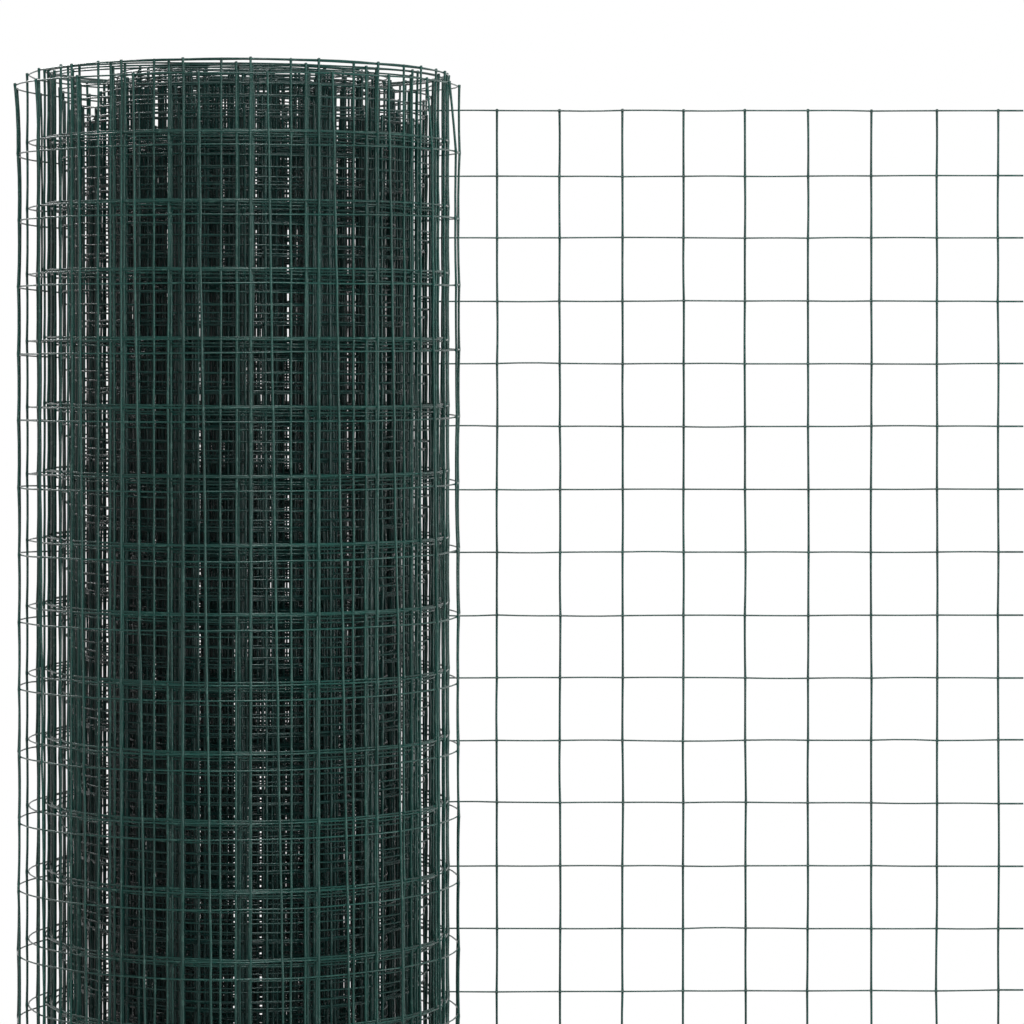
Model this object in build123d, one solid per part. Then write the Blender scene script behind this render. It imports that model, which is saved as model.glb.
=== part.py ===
from build123d import *
import os

# Roll of square welded wire fencing with a green coat, standing on end, with its free end
# leaving the rear of the outermost turn as a flat sheet.
# Millimetres. Z is the roll's axis and up, and the origin is on that axis at the floor.
# The free end leaves at +Y and runs towards +X.

# Mesh: line wires run along the roll's length, cross wires stand upright
mesh_pitch = 50.0
edge_row_height = 52.0
inner_rows = 18
line_wire_width = 1.2
cross_wire_width = 1.8
weld_bite = 0.3
wire_end = 1.4

# Stack of tight turns, counted from the outside to the bore
core_bore_radius = 40.0
turn_pitch = 3.0
bundle_turns = 4
sliding_turns = 4
inner_ridges = 6
turns_per_inner_ridge = 5

# How far the turns have slid along the axis
telescope_height = 42.0
bundle_step = 1.8
raised_lift = 36.0
raised_stagger = 3.0

# Loose turns outside the stack, which lead to the free end
loose_gap = 14.4
loose_shift = 6.6
loose_lift = 23.0
whole_half_turns = 3
tucked_angle = 20.0
tuck_depth = 0.5

# Free end
first_cross_wire = 43.6
free_openings = 11
stub_length = 19.8

mesh_height = 2 * (edge_row_height + wire_end) + inner_rows * mesh_pitch
mesh_thickness = line_wire_width + cross_wire_width - weld_bite
stack_turns = bundle_turns + sliding_turns + inner_ridges * turns_per_inner_ridge
stack_radius = core_bore_radius + stack_turns * turn_pitch
loose_radius = stack_radius + loose_gap
half_turn_shrink = (loose_gap - loose_shift + mesh_thickness / 2 + tuck_depth) / whole_half_turns


def turn_groups():
    # The ridges on the ends, from the outside inwards: how many turns each one is, and how
    # far it stands off the floor. Of the inner ridges the first and the last have slid down
    # to the floor. Those between are still raised, every second one a little less.
    groups = []
    for turn in range(bundle_turns):
        groups.append((1, telescope_height - turn * bundle_step))
    bundle_floor = telescope_height - (bundle_turns - 1) * bundle_step
    for turn in reversed(range(sliding_turns)):
        groups.append((1, bundle_floor * (turn + 1) / (sliding_turns + 1)))
    for ridge in reversed(range(inner_ridges)):
        on_floor = ridge in (0, inner_ridges - 1)
        raised = raised_lift - raised_stagger * (ridge % 2)
        groups.append((turns_per_inner_ridge, 0 if on_floor else raised))
    return groups


def end_steps(height):
    # Stairs across one end of the stack, which the turns make at this height above their lift.
    points = []
    outer = stack_radius
    for turns, lift in turn_groups():
        inner = outer - turns * turn_pitch
        points.append((outer, 0, height + lift))
        points.append((inner, 0, height + lift))
        outer = inner
    return points


def wound_stack():
    outline = end_steps(mesh_height) + end_steps(0)[::-1]
    section = make_face(Polyline(*outline, close=True))
    return revolve(section, axis=Axis.Z)


def half_turn(index, offset, sweep=180.0):
    # One half turn of the loose winding, this far outside its mid-surface. Each is smaller
    # than the one before, and meets it at the rear or the front with no corner.
    radius = loose_radius - index * half_turn_shrink + offset
    on_right = index % 2
    centre = (-loose_shift, -half_turn_shrink * on_right)
    return CenterArc(centre, radius, 90.0 + 180.0 * on_right, sweep)


def loose_turns():
    # A spiral band that starts square to the free end and ends within the stack.
    sides = []
    for offset in (mesh_thickness / 2, -mesh_thickness / 2):
        arcs = [half_turn(index, offset) for index in range(whole_half_turns)]
        arcs.append(half_turn(whole_half_turns, offset, 90.0 + tucked_angle))
        sides.append(arcs)
    outer, inner = sides
    start = Line(outer[0] @ 0, inner[0] @ 0)
    end = Line(outer[-1] @ 1, inner[-1] @ 1)
    band = make_face(outer + inner + [start, end])
    return Pos(0, 0, loose_lift) * extrude(band, mesh_height)


def rolled_mesh():
    return wound_stack() + loose_turns()


def line_wire_heights():
    edge_rows = [wire_end, mesh_height - wire_end]
    inner_lines = [wire_end + edge_row_height + row * mesh_pitch for row in range(inner_rows + 1)]
    return edge_rows + inner_lines


def free_end_mesh():
    # Square bars in two layers that bite into each other where they cross, with the cross
    # wires on the outer side. The line wires start face to face with the outermost turn.
    start_x = -loose_shift
    inner_y = loose_radius - mesh_thickness / 2
    outer_y = loose_radius + mesh_thickness / 2
    length = first_cross_wire + free_openings * mesh_pitch + stub_length
    wires = []
    along = (Align.MIN, Align.MIN, Align.CENTER)
    line_wire = Box(length, line_wire_width, line_wire_width, align=along)
    for height in line_wire_heights():
        wires.append(Pos(start_x, inner_y, loose_lift + height) * line_wire)
    upright = (Align.CENTER, Align.MAX, Align.MIN)
    cross_wire = Box(cross_wire_width, cross_wire_width, mesh_height, align=upright)
    for opening in range(free_openings + 1):
        x = start_x + first_cross_wire + opening * mesh_pitch
        wires.append(Pos(x, outer_y, loose_lift) * cross_wire)
    return wires[0].fuse(*wires[1:])


os.makedirs("parts", exist_ok=True)
export_step(rolled_mesh(), "parts/rolled_mesh.step")
export_step(free_end_mesh(), "parts/free_end_mesh.step")
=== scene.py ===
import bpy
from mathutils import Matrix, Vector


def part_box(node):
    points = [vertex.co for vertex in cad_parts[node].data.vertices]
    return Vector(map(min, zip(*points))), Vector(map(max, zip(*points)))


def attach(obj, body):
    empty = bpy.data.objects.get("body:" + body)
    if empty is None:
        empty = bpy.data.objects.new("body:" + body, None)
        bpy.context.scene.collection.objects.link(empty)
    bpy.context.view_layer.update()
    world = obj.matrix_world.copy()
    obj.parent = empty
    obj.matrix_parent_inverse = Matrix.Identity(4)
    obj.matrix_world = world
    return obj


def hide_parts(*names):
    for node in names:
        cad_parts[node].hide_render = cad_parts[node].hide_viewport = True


bl_info = {
    "name": "Rolled Wire Fencing",
    "version": (1, 0, 0),
    "blender": (4, 5, 0),
    "location": "3D Viewport > Sidebar > Wire Fencing",
    "description": "Builds a slid-out roll of coated welded wire fencing with a flat free end",
    "category": "Add Mesh",
}

import bpy
import math
import numpy as np
from bpy.props import FloatProperty, FloatVectorProperty, IntProperty, PointerProperty

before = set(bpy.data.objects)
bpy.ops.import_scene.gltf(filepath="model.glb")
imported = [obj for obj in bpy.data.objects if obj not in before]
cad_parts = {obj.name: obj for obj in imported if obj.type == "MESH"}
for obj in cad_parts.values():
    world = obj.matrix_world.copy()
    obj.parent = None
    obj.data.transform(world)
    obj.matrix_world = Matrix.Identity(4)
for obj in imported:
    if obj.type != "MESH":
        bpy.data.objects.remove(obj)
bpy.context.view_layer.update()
FREE_END_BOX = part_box("free_end_mesh")
MM = 0.001

# The strip is one length of mesh. It is measured along its centre line from the cut end of
# its line wires, which is the far end of the flat run, to the bore of the roll. Quarter
# turns are counted from the rear: rear 0, left 1, front 2, right 3 and so on. Tables are
# followed by a smooth curve, so some entries are repeated to keep a long span flat.

# How far the strip is from the roll's axis, by quarter turns. Inside the last entry each
# turn is one turn spacing smaller.
REACH_MM = (
    (0, 168.5), (0.5, 166.0), (1, 173.8), (1.25, 175.8), (1.5, 173.4), (2, 168.0),
    (2.5, 163.5), (3, 159.6), (3.5, 159.5), (4, 160.0), (4.5, 164.3), (5, 167.0),
    (5.5, 163.5), (6, 159.6), (6.5, 155.4), (7, 151.2), (7.5, 154.0), (8, 156.2),
    (8.5, 155.4), (9, 154.5), (10, 150.9), (11, 149.6), (12, 150.6), (13, 152.2),
    (14, 147.8), (15, 147.1), (16, 148.0), (17, 149.4), (18, 145.0), (19, 144.2),
    (20, 145.2), (21, 146.6), (22, 142.0), (23, 141.2), (24, 142.2), (25, 143.6),
    (26, 139.0), (27, 138.4), (28, 138.6), (29, 138.7), (30, 136.4), (31, 137.4),
    (32, 134.6), (33, 134.4), (34, 133.2), (35, 134.2), (36, 131.4),
)

# How far the strip's lower edge is off the floor, by quarter turns: the outer turns hang
# together and the next ones have slid down to the floor. Further in it goes up and down.
LIFT_MM = (
    (0, 22.0), (1, 29.0), (2, 30.5), (3, 32.2), (4, 37.0), (5, 39.3), (6, 41.0), (7, 41.2),
    (8, 42.0), (9, 42.6), (10, 42.0), (11, 41.8), (12, 42.6), (13, 43.0), (14, 40.1),
    (16, 40.0), (17, 39.6), (18, 37.6), (21, 37.2), (22, 35.2), (26, 24.6), (30, 16.0),
    (34, 9.0), (38, 3.2), (42, 0.6), (48, 0.6), (53, 4.0), (58, 16.0), (63, 28.0), (68, 34.0),
)
WAVE_STARTS_OVER = 8
WAVE_ENDS_OVER = 18

# How much the cross wires lean back along the strip, as a slope, by quarter turns, and the
# height on the strip at which a leaning wire is in its upright place.
LEAN = (
    (0, 0.0), (1, 0.012), (2, 0.0152), (2.5, 0.021), (3, 0.018), (4, 0.005), (5, 0.0),
    (6, 0.0), (7, 0.0), (200, 0.0),
)
LEAN_PIVOT_MM = 728.0

# How far the top edge is bent out from the axis and up, by quarter turns. The bend is as
# deep as one row of openings and a little more.
TOP_BEND_OUT_MM = (
    (0, 0.0), (0.5, 0.5), (1, 2.5), (1.5, 1.0), (2, 0.0), (2.2, 0.0), (2.45, 0.0), (2.7, -3.6),
    (2.9, -4.0), (3.1, 1.0), (3.3, 1.0), (3.6, 0.0), (3.9, 0.0), (4.2, 0.0), (200, 0.0),
)
TOP_BEND_UP_MM = (
    (0, 0.0), (0.5, -0.5), (1, -1.0), (1.5, -0.8), (2, -0.5), (3, -1.0), (4, -1.0), (5, -1.2),
    (6, -0.4), (7, -2.6), (8, -2.0), (9, -1.8), (10, -1.2), (11, -2.6), (12, -2.0), (13, -1.8),
    (14, -2.0), (15, -2.6), (16, -2.0), (17, -1.5), (18, -0.8), (20, 0.0), (21, 0.0),
    (22, 0.0), (200, 0.0),
)
TOP_BEND_DEPTH_MM = 70.0

# How far the cross wires are from an even pitch, by their number from the cut end.
PITCH_DRIFT_MM = (
    (0, 0.0), (1, -0.8), (2, 1.3), (3, 2.0), (4, 1.8), (5, 1.1), (6, -0.2), (7, -0.2),
    (8, -0.3), (12, 0.0), (22, 1.0), (24, 1.0), (25, 0.3), (33, 2.5), (42, 7.3), (43, 6.4),
    (44, 6.9), (45, 6.4), (52, 5.0), (61, 3.2), (62, 4.2), (63, 4.8), (64, 4.2), (80, 9.6),
    (82, 10.4), (83, 10.2), (92, 3.5), (99, -1.5), (101, -2.0), (110, 0.5), (135, 0.1),
    (165, 15.8), (200, 5.3), (250, 6.5), (310, -5.4), (380, -3.1), (450, -3.1), (600, -3.1),
)

# Random errors: their seeds, over how many welds they are smoothed, and their sizes as
# shares of the mesh's unevenness. Tight turns press on each other, so in and out they are
# more even, and from the third turn on their cross wires tilt.
WELD_SEED, TILT_SEED, LINE_BOW_SEED, CROSS_BOW_SEED = 7, 17, 11, 13
SMOOTHED_WELDS = 9
SINGLE_WELD_SHARE = 0.6
LINE_BOW_SHARE = 0.8
CROSS_BOW_SHARE = 0.5
TIGHT_TURN_SHARE = 0.3
TIGHT_FROM_QUARTER = 5
TILT_FROM_QUARTER = 10
TILT_STARTS_OVER = 4

# Ends of wires: a cut line wire and the coat at a cross wire's tip as shares of their
# thickness, and where the tip starts to round off as a share of its length.
CUT_END_SHARE = 0.78
COAT_TIP_SHARE = 0.55
TIP_SHOULDER_SHARE = 0.8
SWELL_REACH_MM = 2.5

# How finely things are divided: the centre line, and the rings of a wire from one weld to
# the next as shares of the pitch. Rings keep clear of a wire's ends, and a place on a wire
# stays just under the number of its last weld.
SPIRAL_STEP_DEGREES = 0.25
FLAT_RUN_POINTS = 60
FINE_RINGS = (0, 0.05, 0.34, 0.66, 0.95)
FIVE_RINGS = (0, 0.2, 0.4, 0.6, 0.8)
FOUR_RINGS = (0, 0.25, 0.5, 0.75)
THREE_RINGS = (0, 0.33, 0.67)
TWO_RINGS = (0, 0.5)
CLEAR_OF_END_MM = 0.2
BEFORE_LAST_WELD = 1.001

# Quarter turns at which one group of turns ends and the next one starts. The first is a
# hair past 0, which the whole flat run has, and the last stops short of the strip's end.
ROUND_FROM = 0.001
OUTER_TO = 12
MIDDLE_TO = 48
INNER_TO = 92
CORE_SHORT_OF_END = 0.05

COAT = "PVC-coated steel wire"
STEEL = "Cut steel"

# Sockets of a Mix node set to colours. They go by number, because other kinds of Mix use
# the same names.
MIX_A, MIX_B, MIX_RESULT = 6, 7, 2

FLOOR_REACH = 30.0
FLOOR_POINTS = 13

# The photo's view: a level camera with a long lens, its picture shifted down
CAMERA_PLACE = (0.1992, -3.225, 0.8324)
LENS_MM = 149.625
SENSOR_WIDTH_MM = 36.0
PICTURE_SHIFT = -0.1533
SEES_UP_TO = 200.0


def linear(hex_colour):
    """The linear colour, with alpha, of an sRGB hex value such as #2F4A42."""
    parts = [int(hex_colour[i : i + 2], 16) / 255 for i in (1, 3, 5)]
    parts = [c / 12.92 if c <= 0.04045 else ((c + 0.055) / 1.055) ** 2.4 for c in parts]
    return (*parts, 1.0)


class WeldedMeshSizes(bpy.types.PropertyGroup):
    pitch: FloatProperty(
        name="Mesh pitch", description="Distance between neighbouring wires", default=0.05,
        unit="LENGTH",
    )
    edge_row: FloatProperty(
        name="Edge row", description="Height of the first and last row of openings",
        default=0.052, unit="LENGTH",
    )
    inner_rows: IntProperty(
        name="Inner rows", description="Rows of openings between the two edge rows", default=18,
    )
    line_wire: FloatProperty(
        name="Line wire", description="Coated thickness of the wires along the strip",
        default=0.0012, unit="LENGTH",
    )
    cross_wire: FloatProperty(
        name="Cross wire", description="Coated thickness of the upright wires", default=0.0018,
        unit="LENGTH",
    )
    weld_bite: FloatProperty(
        name="Weld bite", description="How far two wires sink into each other at a weld",
        default=0.0003, unit="LENGTH",
    )
    wire_end: FloatProperty(
        name="Wire end", description="How far the cross wires pass the edge line wires",
        default=0.0014, unit="LENGTH",
    )
    first_cross_wire: FloatProperty(
        name="Cut end", description="Length of line wire past the last cross wire",
        default=0.0198, unit="LENGTH",
    )
    weld_swell: FloatProperty(
        name="Weld swell", description="Share by which the coat thickens a wire at a weld",
        default=0.22,
    )
    unevenness: FloatProperty(
        name="Unevenness", description="How far a weld sits from its even place, typically",
        default=0.00025, unit="LENGTH",
    )
    tilt: FloatProperty(
        name="Tilt", description="How far a tight turn's cross wire leans over its height",
        default=0.002, unit="LENGTH",
    )
    bow_in: FloatProperty(
        name="Bow", description="How far a cross wire bows in between two line wires",
        default=0.0004, unit="LENGTH",
    )


class WindingSizes(bpy.types.PropertyGroup):
    free_end_tip: FloatProperty(
        name="Free end tip", description="How far the cut wire ends are from the roll's axis",
        default=FREE_END_BOX[1].x, unit="LENGTH",
    )
    leaves_at: FloatProperty(
        name="Leaves at", description="Where the flat run meets the round one, from the axis",
        default=FREE_END_BOX[0].x, unit="LENGTH",
    )
    turn_spacing: FloatProperty(
        name="Turn spacing", description="Distance from one tight turn to the next",
        default=0.002974, unit="LENGTH",
    )
    inner_lift: FloatProperty(
        name="Inner lift", description="Middle height of the inner turns off the floor",
        default=0.034, unit="LENGTH",
    )
    inner_wave: FloatProperty(
        name="Inner wave", description="How far the inner turns go up and down from there",
        default=0.007, unit="LENGTH",
    )
    on_floor: FloatProperty(
        name="On floor", description="Mean height of the lower edge of the turns on the floor",
        default=0.0006, unit="LENGTH",
    )
    wave_quarters: FloatProperty(
        name="Wave length", description="Quarter turns from one high place to the next",
        default=13.7,
    )
    last_quarter: IntProperty(
        name="Quarter turns", description="Quarter turns from the flat run to the bore",
        default=159,
    )


class CoatFinish(bpy.types.PropertyGroup):
    green: FloatVectorProperty(
        name="Coat", description="Main green of the coat", size=4, subtype="COLOR",
        default=linear("#103B35"), min=0, max=1,
    )
    deep_green: FloatVectorProperty(
        name="Deep coat", description="Darker green where the coat is thicker", size=4,
        subtype="COLOR", default=linear("#0B302B"), min=0, max=1,
    )
    # Painted shade: a darker green painted on the turns near the axis for the shade inside the
    # roll
    painted_shade_green: FloatVectorProperty(
        name="Inner coat", description="Deep green of the turns that no light or hand reaches",
        size=4, subtype="COLOR", default=linear("#072926"), min=0, max=1,
    )
    rubbed_green: FloatVectorProperty(
        name="Rubbed coat", description="Paler, greyer green where turns rub on each other",
        size=4, subtype="COLOR", default=linear("#274A43"), min=0, max=1,
    )
    cut_steel: FloatVectorProperty(
        name="Cut steel", description="Steel core shown by a cut wire end", size=4,
        subtype="COLOR", default=linear("#B4B6B4"), min=0, max=1,
    )
    roughness: FloatProperty(
        name="Roughness", description="Typical roughness of the coat", default=0.22, min=0,
        max=1, subtype="FACTOR",
    )


class StageLook(bpy.types.PropertyGroup):
    floor: FloatVectorProperty(
        name="Floor", description="Colour of the floor", size=4, subtype="COLOR",
        default=linear("#F4F4F2"), min=0, max=1,
    )
    floor_near: FloatProperty(
        name="Shadow floor", description="Distance out to which the floor shows its shadow",
        default=0.7, unit="LENGTH",
    )
    floor_far: FloatProperty(
        name="White floor", description="Distance from which the floor is plain white",
        default=1.9, unit="LENGTH",
    )
    ambient: FloatProperty(
        name="Ambient", description="Strength of the even light from all round", default=0.02,
    )
    key: FloatProperty(
        name="Key light", description="Power of the soft light from above the camera in watts",
        default=84.0,
    )
    tall: FloatProperty(
        name="Tall light", description="Power of the tall soft light in front in watts",
        default=41.0,
    )
    fill: FloatProperty(
        name="Fill light", description="Power of the tall soft light on the right in watts",
        default=31.0,
    )
    top: FloatProperty(
        name="Top light", description="Power of the soft light from above in watts",
        default=53.0,
    )
    rear: FloatProperty(
        name="Rear light", description="Power of the soft light from behind in watts",
        default=40.0,
    )


def through(table, at):
    """A curve through the table's points with a slope at each point taken from its two
    neighbours, so it passes them with no corner (cubic Hermite)."""
    keys, values = np.array(table, float).T
    slopes = np.gradient(values, keys)
    i = np.clip(np.searchsorted(keys, at, side="right") - 1, 0, len(keys) - 2)
    width = keys[i + 1] - keys[i]
    f = (at - keys[i]) / width
    rise = values[i + 1] - values[i]
    start, end = slopes[i] * width, slopes[i + 1] * width
    square, cube = 3 * rise - 2 * start - end, start + end - 2 * rise
    return values[i] + f * start + f**2 * square + f**3 * cube


def strip_reach(quarter):
    """Distance from the axis by quarter turns: the table, and inside it an even spiral."""
    sizes = bpy.context.scene.fencing_winding
    table_end, table_reach = REACH_MM[-1]
    spiral = table_reach * MM - sizes.turn_spacing * (quarter - table_end) / 4
    table = through(REACH_MM, np.minimum(quarter, table_end)) * MM
    return np.where(quarter < table_end, table, spiral)


def strip_lift(quarter):
    """Height of the lower edge off the floor by quarter turns: the table, and inside it a
    sine wave, which comes in over a few quarter turns and dies away near the bore."""
    sizes = bpy.context.scene.fencing_winding
    table_end = LIFT_MM[-1][0]
    table = through(LIFT_MM, np.minimum(quarter, table_end)) * MM
    inside = np.clip((quarter - table_end) / WAVE_STARTS_OVER, 0, 1)
    to_bore = np.clip((sizes.last_quarter - quarter) / WAVE_ENDS_OVER, 0, 1)
    wave = np.sin((quarter - table_end) * 2 * math.pi / sizes.wave_quarters)
    inner = (sizes.inner_lift + sizes.inner_wave * wave) * to_bore
    return np.maximum(table * (1 - inside) + inner * inside, sizes.on_floor)


def flat_run():
    """Length of the flat run, from the cut wire ends to where the round run starts."""
    sizes = bpy.context.scene.fencing_winding
    return sizes.free_end_tip - sizes.leaves_at


def strip_line():
    """The strip's centre line seen from above, as columns: length from the cut end, x, y,
    outward x, outward y and quarter turn. A straight run along -X, then a spiral with the
    point (-r sin a, r cos a) at the angle a and the reach r."""
    sizes = bpy.context.scene.fencing_winding
    first = math.atan2(-sizes.leaves_at, REACH_MM[0][1] * MM)
    last = sizes.last_quarter * math.pi / 2
    angle = np.arange(first, last, math.radians(SPIRAL_STEP_DEGREES))
    quarter = angle / (math.pi / 2)
    reach = strip_reach(quarter)
    spiral = np.stack([-reach * np.sin(angle), reach * np.cos(angle)])
    straight_x = np.linspace(
        sizes.free_end_tip, sizes.leaves_at, FLAT_RUN_POINTS, endpoint=False
    )
    straight = np.stack([straight_x, np.full_like(straight_x, spiral[1, 0])])
    place = np.hstack([straight, spiral])
    step = np.hypot(*np.diff(place))
    length = np.concatenate([[0], np.cumsum(step)])
    forward = np.gradient(place, length, axis=1)
    forward[:, : len(straight_x)] = [[-1], [0]]
    forward /= np.hypot(*forward)
    quarters = np.concatenate([np.zeros_like(straight_x), quarter])
    return length, place[0], place[1], forward[1], -forward[0], quarters


def row_heights():
    """Height of each line wire over the strip's lower edge, from the bottom to the top."""
    sizes = bpy.context.scene.fencing_mesh
    inner = sizes.wire_end + sizes.edge_row + sizes.pitch * np.arange(sizes.inner_rows + 1)
    top = inner[-1] + sizes.edge_row
    return np.concatenate([[sizes.wire_end], inner, [top]])


def smoothed(values, axis):
    """Running sums of random errors along an axis, scaled to keep the errors' spread."""
    kernel = np.ones(SMOOTHED_WELDS) / math.sqrt(SMOOTHED_WELDS)
    return np.apply_along_axis(lambda row: np.convolve(row, kernel, "valid"), axis, values)


def weld_places(line):
    """Where the welds are: the cross wires' lengths along the strip, and for each row and
    cross wire how far the weld is off its even place along, out of and up the strip. The
    errors are seeded random ones, smoothed along the strip or up it, with small single ones
    on top, and the tight turns' cross wires tilt a little as well."""
    sizes = bpy.context.scene.fencing_mesh
    length = line[0]
    count = int((length[-1] - sizes.first_cross_wire) // sizes.pitch) + 1
    columns = sizes.first_cross_wire + sizes.pitch * np.arange(count)
    heights = row_heights()
    rows = len(heights)
    more = SMOOTHED_WELDS - 1
    noise = np.random.default_rng(WELD_SEED)
    shift = noise.normal(0, sizes.unevenness * SINGLE_WELD_SHARE, (3, rows, count))
    slow = smoothed(noise.normal(0, sizes.unevenness, (3, rows, count + more)), 2)
    slow_up = smoothed(noise.normal(0, sizes.unevenness, (3, rows + more, count)), 1)
    shift += np.stack([slow_up[0], slow[1], slow[2]])
    shift[0] += through(PITCH_DRIFT_MM, np.arange(count)) * MM
    quarter = np.interp(columns, length, line[5])
    shift[1] *= np.where(quarter > TIGHT_FROM_QUARTER, TIGHT_TURN_SHARE, 1.0)
    tilt = smoothed(np.random.default_rng(TILT_SEED).normal(0, sizes.tilt, count + more), 0)
    tilt = tilt * np.clip((quarter - TILT_FROM_QUARTER) / TILT_STARTS_OVER, 0, 1)
    shift[0] += tilt * (heights[:, None] / heights[-1] - 0.5)
    return columns, shift


def on_strip(line, along, height, out):
    """The point at this length along the strip, this far up it and out of it, and the way
    out there. Lengths slide back with height by the lean, the top edge is bent by the square
    of the share of the bend's depth, and the lift at that length is added to the height."""
    slope = through(LEAN, np.interp(along, line[0], line[5]))
    along = along + slope * (LEAN_PIVOT_MM * MM - height)
    x, y, nx, ny, quarter = (np.interp(along, line[0], column) for column in line[1:])
    near_top = np.clip(1 - (row_heights()[-1] - height) / (TOP_BEND_DEPTH_MM * MM), 0, 1)
    out = out + through(TOP_BEND_OUT_MM, quarter) * MM * near_top**2
    height = height + through(TOP_BEND_UP_MM, quarter) * MM * near_top**2
    lift = strip_lift(quarter)
    point = np.stack([x + nx * out, y + ny * out, height + lift], axis=-1)
    outward = np.stack([nx, ny, np.zeros_like(nx)], axis=-1)
    return point, outward


def between(values, step, share):
    """The values at whole steps, taken straight from one step to the next by its share."""
    after = np.minimum(step + 1, values.shape[-1] - 1)
    return values[..., step] * (1 - share) + values[..., after] * share


def random_bows(seed, share, shape):
    """Seeded sizes of the bows from weld to weld, in two directions."""
    size = bpy.context.scene.fencing_mesh.unevenness * share
    return np.random.default_rng(seed).normal(0, size, (2, *shape))


def thickness():
    """The mesh's thickness: both wires less the bite of the weld."""
    sizes = bpy.context.scene.fencing_mesh
    return sizes.line_wire + sizes.cross_wire - sizes.weld_bite


def swollen(radius, position):
    """The radius at these places, counted in welds along a wire, made larger near a weld by
    the coat that gathers there: a bell curve of the distance to the nearest weld."""
    sizes = bpy.context.scene.fencing_mesh
    gap = np.abs(position - np.round(position)) * sizes.pitch
    return radius * (1 + sizes.weld_swell * np.exp(-((gap / (SWELL_REACH_MM * MM)) ** 2)))


def tubes(centres, side_a, side_b, radii, sides):
    """Round wires. Each ring's point at the angle t is centre + radius * (cos t * side_a +
    sin t * side_b), and quads join each ring to the next along its wire, with a cap face at
    both ends. Centres are wires x rings x 3. Returns points, quads and caps."""
    wires, rings = radii.shape
    angle = np.arange(sides) * 2 * math.pi / sides
    cosine, sine = np.cos(angle)[:, None], np.sin(angle)[:, None]
    circle = cosine * side_a[:, :, None] + sine * side_b[:, :, None]
    points = centres[:, :, None] + radii[:, :, None, None] * circle
    index = np.arange(wires * rings * sides).reshape(wires, rings, sides)
    ahead = np.roll(index, -1, axis=2)
    quads = np.stack([index[:, :-1], ahead[:, :-1], ahead[:, 1:], index[:, 1:]], axis=-1)
    caps = np.concatenate([index[:, 0, ::-1], index[:, -1]])
    return points.reshape(-1, 3), quads.reshape(-1, 4), caps


def join_tubes(sets):
    """One set of points, quads and caps out of several."""
    points, quads, caps, base = [], [], [], 0
    for p, q, c in sets:
        points.append(p)
        quads.append(q + base)
        caps.append(c + base)
        base += len(p)
    return np.concatenate(points), np.concatenate(quads), np.concatenate(caps)


def wire_object(name, points, quads, caps, cut_caps=0):
    """A mesh object from arrays, with smooth sides and flat caps. The first cut_caps caps show
    the steel inside the coat."""
    mesh = bpy.data.meshes.new(name)
    corners = np.concatenate([quads.ravel(), caps.ravel()])
    sides = caps.shape[1]
    cap_starts = len(quads) * 4 + np.arange(len(caps)) * sides
    starts = np.concatenate([np.arange(len(quads)) * 4, cap_starts])
    mesh.vertices.add(len(points))
    mesh.vertices.foreach_set("co", points.astype(np.float32).ravel())
    mesh.loops.add(len(corners))
    mesh.loops.foreach_set("vertex_index", corners.astype(np.int32))
    mesh.polygons.add(len(starts))
    mesh.polygons.foreach_set("loop_start", starts.astype(np.int32))
    mesh.polygons.foreach_set("use_smooth", np.arange(len(starts)) < len(quads))
    which = np.zeros(len(starts), np.int32)
    which[len(quads) : len(quads) + cut_caps] = 1
    mesh.polygons.foreach_set("material_index", which)
    mesh.update(calc_edges=True)
    for material in (COAT, STEEL):
        mesh.materials.append(bpy.data.materials[material])
    piece = bpy.data.objects.new(name, mesh)
    bpy.context.collection.objects.link(piece)
    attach(piece, "root")
    return piece


def line_wires(line, start, end, ring_shares, sides, cut_start=False):
    """The line wires from one length to another. A wire runs straight from weld to weld but
    for a small bow, 4 f (1 - f) times a random size at the share f, and its radius swells
    near each weld. With cut_start, all of them start even, with a narrower steel end."""
    sizes = bpy.context.scene.fencing_mesh
    columns, shift = weld_places(line)
    along = (columns[:, None] + np.array(ring_shares) * sizes.pitch).ravel()
    clear = CLEAR_OF_END_MM * MM
    along = along[(along > start + clear) & (along < end - clear)]
    along = np.concatenate([[start], along, [end]])
    heights = row_heights()
    last = len(columns) - BEFORE_LAST_WELD
    position = np.clip((along - columns[0]) / sizes.pitch, 0, last)
    step = position.astype(int)
    share = position - step
    bow = random_bows(LINE_BOW_SEED, LINE_BOW_SHARE, (len(heights), len(columns)))
    bend = 4 * share * (1 - share)
    height = heights[:, None] + between(shift[2], step, share) + bow[0][:, step] * bend
    out = between(shift[1], step, share) + (sizes.line_wire - thickness()) / 2
    along_row = along + between(shift[0], step, share)
    radii = np.broadcast_to(swollen(sizes.line_wire / 2, position), height.shape)
    if cut_start:
        along_row[:, 0] = start
        along_row, height, out = (
            np.insert(row, 0, row[:, 0], axis=1) for row in (along_row, height, out)
        )
        radii = np.insert(radii, 0, radii[:, 0] * CUT_END_SHARE, axis=1)
    centres, outward = on_strip(line, along_row, height, out)
    up = np.broadcast_to([0.0, 0.0, 1.0], outward.shape)
    return tubes(centres, up, outward, radii, sides)


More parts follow.
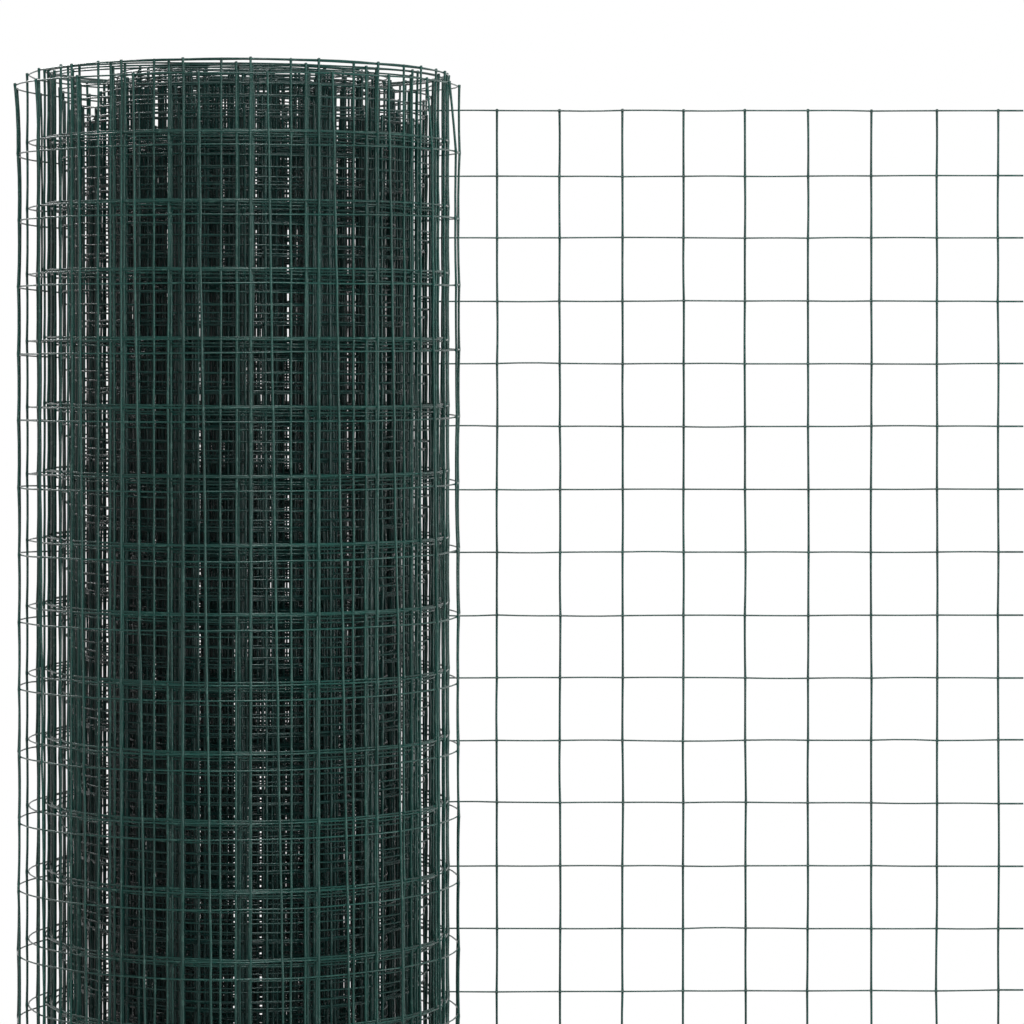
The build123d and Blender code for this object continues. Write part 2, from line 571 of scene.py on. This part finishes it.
def cross_wires(line, first, last, ring_shares, sides):
    """The cross wires from one number to another. They run from weld to weld as the line wires
    do, and each tip is rounded off by its coat."""
    sizes = bpy.context.scene.fencing_mesh
    columns, shift = weld_places(line)
    heights = row_heights()
    rings = (heights[:-1, None] + np.array(ring_shares) * np.diff(heights)[:, None]).ravel()
    low, high = heights[0], heights[-1]
    tip, shoulder = sizes.wire_end, sizes.wire_end * TIP_SHOULDER_SHARE
    foot, head = [low - tip, low - shoulder], [high, high + shoulder, high + tip]
    rings = np.concatenate([foot, rings, head])
    position = np.interp(rings, heights, np.arange(len(heights)))
    step = position.astype(int)
    share = position - step
    bow = random_bows(CROSS_BOW_SEED, CROSS_BOW_SHARE, (len(columns), len(heights)))
    bend = 4 * share * (1 - share)
    wanted = slice(first, last)
    moved = shift[:, :, wanted].transpose(0, 2, 1)
    bows = bow[:, wanted][:, :, step] * bend
    along = columns[wanted, None] + between(moved[0], step, share) + bows[0]
    height = rings + between(moved[2], step, share)
    out = between(moved[1], step, share) + (thickness() - sizes.cross_wire) / 2
    out = out - sizes.bow_in * bend
    radius = swollen(sizes.cross_wire / 2, position)
    radius[[0, -1]] *= COAT_TIP_SHARE
    centres, outward = on_strip(line, along, height, out)
    forward = np.stack([-outward[..., 1], outward[..., 0], outward[..., 2]], axis=-1)
    return tubes(centres, outward, forward, np.broadcast_to(radius, height.shape), sides)


def length_at(line, quarter):
    """Length along the strip at this many quarter turns."""
    return float(np.interp(quarter, line[5], line[0]))


def cross_wire_numbers(line, start, end):
    """Numbers of the cross wires that stand between these two lengths."""
    columns = weld_places(line)[0]
    return int(np.searchsorted(columns, start)), int(np.searchsorted(columns, end))


def turns(name, first_quarter, last_quarter, line_rings, cross_rings, sides):
    """Line wires and cross wires from one quarter turn to another as two objects."""
    line = strip_line()
    start, end = length_at(line, first_quarter), length_at(line, last_quarter)
    numbers = cross_wire_numbers(line, start, end)
    lines = wire_object(
        name + "_line_wires", *line_wires(line, start, end, line_rings, sides)
    )
    crosses = wire_object(
        name + "_cross_wires", *cross_wires(line, *numbers, cross_rings, sides)
    )
    for piece in (lines, crosses):
        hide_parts("rolled_mesh")


def add_node(tree, kind, settings=None, inputs=None):
    """Adds a node, sets its properties, and fills its inputs with values or links."""
    made = tree.nodes.new(kind)
    for name, value in (settings or {}).items():
        setattr(made, name, value)
    for name, value in (inputs or {}).items():
        if isinstance(value, bpy.types.NodeSocket):
            tree.links.new(value, made.inputs[name])
        else:
            made.inputs[name].default_value = value
    return made


def new_tree(block):
    """The block's node tree, emptied."""
    block.use_nodes = True
    block.node_tree.nodes.clear()
    return block.node_tree


def coated_wire_material():
    """PVC-coated steel wire: the coat is sintered on, so it is smooth and half glossy, with a
    faint orange peel. It gives the eye a dark moss green that turns greyer where turns rub,
    and is painted darker on the turns near the axis as painted shade."""
    finish = bpy.context.scene.fencing_finish
    tree = new_tree(bpy.data.materials.new(COAT))
    place = add_node(tree, "ShaderNodeTexCoord").outputs["Object"]
    # Patches 90 mm wide: the coat's thickness changes along a wire
    patches = add_node(
        tree, "ShaderNodeTexNoise", inputs={"Vector": place, "Scale": 1 / 0.09, "Detail": 3.0}
    )
    patch_share = add_node(
        tree, "ShaderNodeMapRange",
        inputs={"Value": patches.outputs["Fac"], "From Min": 0.38, "From Max": 0.62},
    )
    base = add_node(
        tree, "ShaderNodeMix", {"data_type": "RGBA"},
        {
            "Factor": patch_share.outputs["Result"], MIX_A: finish.deep_green[:],
            MIX_B: finish.green[:],
        },
    )
    # Painted shade: the turns within 125 mm of the axis are painted with the darker shade green
    # for the shade inside the roll, and from 147 mm out the coat keeps its own green
    flat = add_node(
        tree, "ShaderNodeVectorMath", {"operation": "MULTIPLY"}, {0: place, 1: (1.0, 1.0, 0.0)}
    )
    reach = add_node(
        tree, "ShaderNodeVectorMath", {"operation": "LENGTH"}, {0: flat.outputs["Vector"]}
    )
    outer_unshaded_share = add_node(
        tree, "ShaderNodeMapRange",
        inputs={"Value": reach.outputs["Value"], "From Min": 0.125, "From Max": 0.147},
    )
    # Painted shade: the shade green near the axis, the coat's own green further out
    painted_shade_colour = add_node(
        tree, "ShaderNodeMix", {"data_type": "RGBA"},
        {
            "Factor": outer_unshaded_share.outputs["Result"], MIX_A: finish.painted_shade_green[:],
            MIX_B: base.outputs[MIX_RESULT],
        },
    )
    # Rub marks 7 mm long, on the outer turns only
    marks = add_node(
        tree, "ShaderNodeTexNoise", inputs={"Vector": place, "Scale": 1 / 0.007, "Detail": 4.0}
    )
    mark_share = add_node(
        tree, "ShaderNodeMapRange",
        inputs={"Value": marks.outputs["Fac"], "From Min": 0.56, "From Max": 0.72},
    )
    rub_share = add_node(
        tree, "ShaderNodeMath", {"operation": "MULTIPLY"},
        {0: mark_share.outputs["Result"], 1: outer_unshaded_share.outputs["Result"]},
    )
    colour = add_node(
        tree, "ShaderNodeMix", {"data_type": "RGBA"},
        {
            "Factor": rub_share.outputs[0], MIX_A: painted_shade_colour.outputs[MIX_RESULT],
            MIX_B: finish.rubbed_green[:],
        },
    )
    rough = add_node(
        tree, "ShaderNodeMapRange",
        inputs={
            "Value": marks.outputs["Fac"], "From Min": 0.3, "From Max": 0.7,
            "To Min": finish.roughness - 0.05, "To Max": finish.roughness + 0.08,
        },
    )
    # Orange peel 1.5 mm wide, 0.03 mm deep
    peel = add_node(
        tree, "ShaderNodeTexNoise", inputs={"Vector": place, "Scale": 1 / 0.0015, "Detail": 2.0}
    )
    bump = add_node(
        tree, "ShaderNodeBump",
        inputs={"Height": peel.outputs["Fac"], "Distance": 0.00003, "Strength": 0.6},
    )
    shader = add_node(
        tree, "ShaderNodeBsdfPrincipled",
        inputs={
            "Base Color": colour.outputs[MIX_RESULT], "Roughness": rough.outputs["Result"],
            "IOR": 1.52, "Specular IOR Level": 0.25, "Normal": bump.outputs["Normal"],
        },
    )
    add_node(tree, "ShaderNodeOutputMaterial", inputs={"Surface": shader.outputs["BSDF"]})


def cut_steel_material():
    """Low-carbon steel, sheared: a small bright grey disc with fine shear lines."""
    finish = bpy.context.scene.fencing_finish
    tree = new_tree(bpy.data.materials.new(STEEL))
    place = add_node(tree, "ShaderNodeTexCoord").outputs["Object"]
    # Shear lines 0.15 mm apart
    lines = add_node(
        tree, "ShaderNodeTexNoise", inputs={"Vector": place, "Scale": 1 / 0.00015, "Detail": 1.0}
    )
    rough = add_node(
        tree, "ShaderNodeMapRange",
        inputs={"Value": lines.outputs["Fac"], "To Min": 0.3, "To Max": 0.55},
    )
    shader = add_node(
        tree, "ShaderNodeBsdfPrincipled",
        inputs={
            "Base Color": finish.cut_steel[:], "Metallic": 1.0,
            "Roughness": rough.outputs["Result"],
        },
    )
    add_node(tree, "ShaderNodeOutputMaterial", inputs={"Surface": shader.outputs["BSDF"]})


def seen_directly(tree):
    """1 for what the camera, a reflection or a clear surface shows, and 0 for soft light."""
    rays = add_node(tree, "ShaderNodeLightPath").outputs
    first = add_node(
        tree, "ShaderNodeMath", {"operation": "MAXIMUM"},
        {0: rays["Is Camera Ray"], 1: rays["Is Glossy Ray"]},
    )
    both = add_node(
        tree, "ShaderNodeMath", {"operation": "MAXIMUM"},
        {0: first.outputs[0], 1: rays["Is Transmission Ray"]},
    )
    return both.outputs[0]


def floor_material():
    """Matt studio floor: pale, shows the shadow near the roll and turns plain white far off."""
    look = bpy.context.scene.fencing_stage
    material = bpy.data.materials.new("Studio floor")
    tree = new_tree(material)
    place = add_node(tree, "ShaderNodeTexCoord").outputs["Object"]
    distance = add_node(tree, "ShaderNodeVectorMath", {"operation": "LENGTH"}, {0: place})
    far = add_node(
        tree, "ShaderNodeMapRange", {"interpolation_type": "SMOOTHSTEP"},
        {
            "Value": distance.outputs["Value"], "From Min": look.floor_near,
            "From Max": look.floor_far,
        },
    )
    share = add_node(
        tree, "ShaderNodeMath", {"operation": "MULTIPLY"},
        {0: far.outputs["Result"], 1: seen_directly(tree)},
    )
    matt = add_node(
        tree, "ShaderNodeBsdfPrincipled",
        inputs={"Base Color": look.floor[:], "Roughness": 0.9, "Specular IOR Level": 0.0},
    )
    white = add_node(
        tree, "ShaderNodeEmission", inputs={"Color": (1, 1, 1, 1), "Strength": 1.0}
    )
    mix = add_node(
        tree, "ShaderNodeMixShader",
        inputs={0: share.outputs[0], 1: matt.outputs["BSDF"], 2: white.outputs["Emission"]},
    )
    add_node(tree, "ShaderNodeOutputMaterial", inputs={"Surface": mix.outputs["Shader"]})
    return material


def studio_floor():
    """A flat square grid round the origin, at z = 0."""
    edge = np.linspace(-FLOOR_REACH, FLOOR_REACH, FLOOR_POINTS)
    x, y = np.meshgrid(edge, edge)
    points = np.stack([x, y, np.zeros_like(x)], axis=-1).reshape(-1, 3)
    index = np.arange(FLOOR_POINTS**2).reshape(FLOOR_POINTS, FLOOR_POINTS)
    faces = np.stack(
        [index[:-1, :-1], index[:-1, 1:], index[1:, 1:], index[1:, :-1]], axis=-1
    )
    mesh = bpy.data.meshes.new("studio_floor")
    mesh.from_pydata(points.tolist(), [], faces.reshape(-1, 4).tolist())
    mesh.materials.append(floor_material())
    floor = bpy.data.objects.new("studio_floor", mesh)
    bpy.context.collection.objects.link(floor)


def white_surroundings():
    """A world that is white where it is seen, and a faint even light everywhere else."""
    world = bpy.data.worlds.new("White surroundings")
    bpy.context.scene.world = world
    tree = new_tree(world)
    ambient = bpy.context.scene.fencing_stage.ambient
    strength = add_node(
        tree, "ShaderNodeMapRange",
        inputs={"Value": seen_directly(tree), "To Min": ambient, "To Max": 1.0},
    )
    background = add_node(
        tree, "ShaderNodeBackground",
        inputs={"Color": (1, 1, 1, 1), "Strength": strength.outputs["Result"]},
    )
    add_node(tree, "ShaderNodeOutputWorld", inputs={"Surface": background.outputs[0]})


def soft_light(name, place, aim, width, height, power):
    """A soft box of this width and height at a place, turned to its aim."""
    data = bpy.data.lights.new(name, "AREA")
    data.shape = "RECTANGLE"
    data.size = width
    data.size_y = height
    data.energy = power
    lamp = bpy.data.objects.new(name, data)
    away = np.array(place) - np.array(aim)
    lamp.location = place
    flat = math.hypot(away[0], away[1])
    lamp.rotation_euler = (math.atan2(flat, away[2]), 0, math.atan2(away[0], -away[1]))
    bpy.context.collection.objects.link(lamp)


def photo_camera():
    """The camera in the photo's view, looking level along +Y."""
    camera = bpy.data.cameras.new("Photo view")
    camera.lens = LENS_MM
    camera.sensor_width = SENSOR_WIDTH_MM
    camera.shift_y = PICTURE_SHIFT
    camera.clip_end = SEES_UP_TO
    view = bpy.data.objects.new("Photo view", camera)
    view.location = CAMERA_PLACE
    view.rotation_euler = (math.pi / 2, 0, 0)
    bpy.context.collection.objects.link(view)
    bpy.context.scene.camera = view


class FENCING_OT_materials(bpy.types.Operator):
    """Makes the coat of the wires and the steel of their cut ends"""

    bl_idname = "fencing.materials"
    bl_label = "Wire Materials"

    def execute(self, context):
        coated_wire_material()
        cut_steel_material()
        return {"FINISHED"}


class FENCING_OT_free_end(bpy.types.Operator):
    """Makes the flat free end that leaves the rear of the roll"""

    bl_idname = "fencing.free_end"
    bl_label = "Free End"

    def execute(self, context):
        line, run, sides = strip_line(), flat_run(), 8
        lines = line_wires(line, 0.0, run, FINE_RINGS, sides, cut_start=True)
        numbers = cross_wire_numbers(line, 0.0, run)
        crosses = cross_wires(line, *numbers, FINE_RINGS, sides)
        joined = join_tubes([lines, crosses])
        piece = wire_object("free_end_wires", *joined, cut_caps=len(row_heights()))
        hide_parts("free_end_mesh")
        return {"FINISHED"}


class FENCING_OT_outer_turns(bpy.types.Operator):
    """Makes the loose outer turns and the first tight one"""

    bl_idname = "fencing.outer_turns"
    bl_label = "Outer Turns"

    def execute(self, context):
        turns("outer_turn", ROUND_FROM, OUTER_TO, FINE_RINGS, FINE_RINGS, sides=6)
        return {"FINISHED"}


class FENCING_OT_middle_turns(bpy.types.Operator):
    """Makes the tight turns that hang together and those that have slid down"""

    bl_idname = "fencing.middle_turns"
    bl_label = "Middle Turns"

    def execute(self, context):
        turns("middle_turn", OUTER_TO, MIDDLE_TO, FOUR_RINGS, THREE_RINGS, sides=6)
        return {"FINISHED"}


class FENCING_OT_inner_turns(bpy.types.Operator):
    """Makes the inner turns round the bore, in two groups"""

    bl_idname = "fencing.inner_turns"
    bl_label = "Inner Turns"

    def execute(self, context):
        turns("inner_turn", MIDDLE_TO, INNER_TO, FOUR_RINGS, TWO_RINGS, sides=5)
        core_to = context.scene.fencing_winding.last_quarter - CORE_SHORT_OF_END
        turns("core_turn", INNER_TO, core_to, FIVE_RINGS, TWO_RINGS, sides=5)
        return {"FINISHED"}


class FENCING_OT_stage(bpy.types.Operator):
    """Makes the floor, the white surroundings, the soft lights and the camera"""

    bl_idname = "fencing.stage"
    bl_label = "Studio Stage"

    def execute(self, context):
        studio_floor()
        white_surroundings()
        look = context.scene.fencing_stage
        # Tall lights put a thin line of light on every upright wire, at all heights
        level = (0.0, 0.0, 0.9)
        soft_light("Tall light", (1.7, -3.0, 0.9), level, 0.25, 1.8, look.tall)
        soft_light("Fill light", (3.0, -0.6, 0.9), level, 0.5, 1.8, look.fill)
        middle = (0.0, 0.0, 0.6)
        soft_light("Key light", (0.6, -2.6, 3.2), middle, 0.8, 0.8, look.key)
        soft_light("Top light", (0.0, -1.5, 3.9), middle, 0.8, 0.8, look.top)
        soft_light("Rear light", (-1.2, 2.8, 2.6), middle, 1.0, 1.0, look.rear)
        photo_camera()
        context.scene.view_settings.view_transform = "Standard"
        return {"FINISHED"}


class FENCING_PT_sidebar(bpy.types.Panel):
    bl_label = "Wire Fencing"
    bl_idname = "FENCING_PT_sidebar"
    bl_space_type = "VIEW_3D"
    bl_region_type = "UI"
    bl_category = "Wire Fencing"

    def draw(self, context):
        layout = self.layout
        for group, scene_name in GROUPS.items():
            box = layout.box()
            for setting in group.__annotations__:
                box.prop(getattr(context.scene, scene_name), setting)
        for operator in OPERATORS:
            layout.operator(operator.bl_idname)


GROUPS = {
    WeldedMeshSizes: "fencing_mesh",
    WindingSizes: "fencing_winding",
    CoatFinish: "fencing_finish",
    StageLook: "fencing_stage",
}
OPERATORS = (
    FENCING_OT_materials,
    FENCING_OT_free_end,
    FENCING_OT_outer_turns,
    FENCING_OT_middle_turns,
    FENCING_OT_inner_turns,
    FENCING_OT_stage,
)


def register():
    for group, scene_name in GROUPS.items():
        bpy.utils.register_class(group)
        setattr(bpy.types.Scene, scene_name, PointerProperty(type=group))
    for operator in OPERATORS:
        bpy.utils.register_class(operator)
    bpy.utils.register_class(FENCING_PT_sidebar)


def unregister():
    bpy.utils.unregister_class(FENCING_PT_sidebar)
    for operator in reversed(OPERATORS):
        bpy.utils.unregister_class(operator)
    for group, scene_name in GROUPS.items():
        delattr(bpy.types.Scene, scene_name)
        bpy.utils.unregister_class(group)


def main():
    register()
    bpy.ops.fencing.materials()
    bpy.ops.fencing.free_end()
    bpy.ops.fencing.outer_turns()
    bpy.ops.fencing.middle_turns()
    bpy.ops.fencing.inner_turns()
    bpy.ops.fencing.stage()


if __name__ == "__main__":
    main()
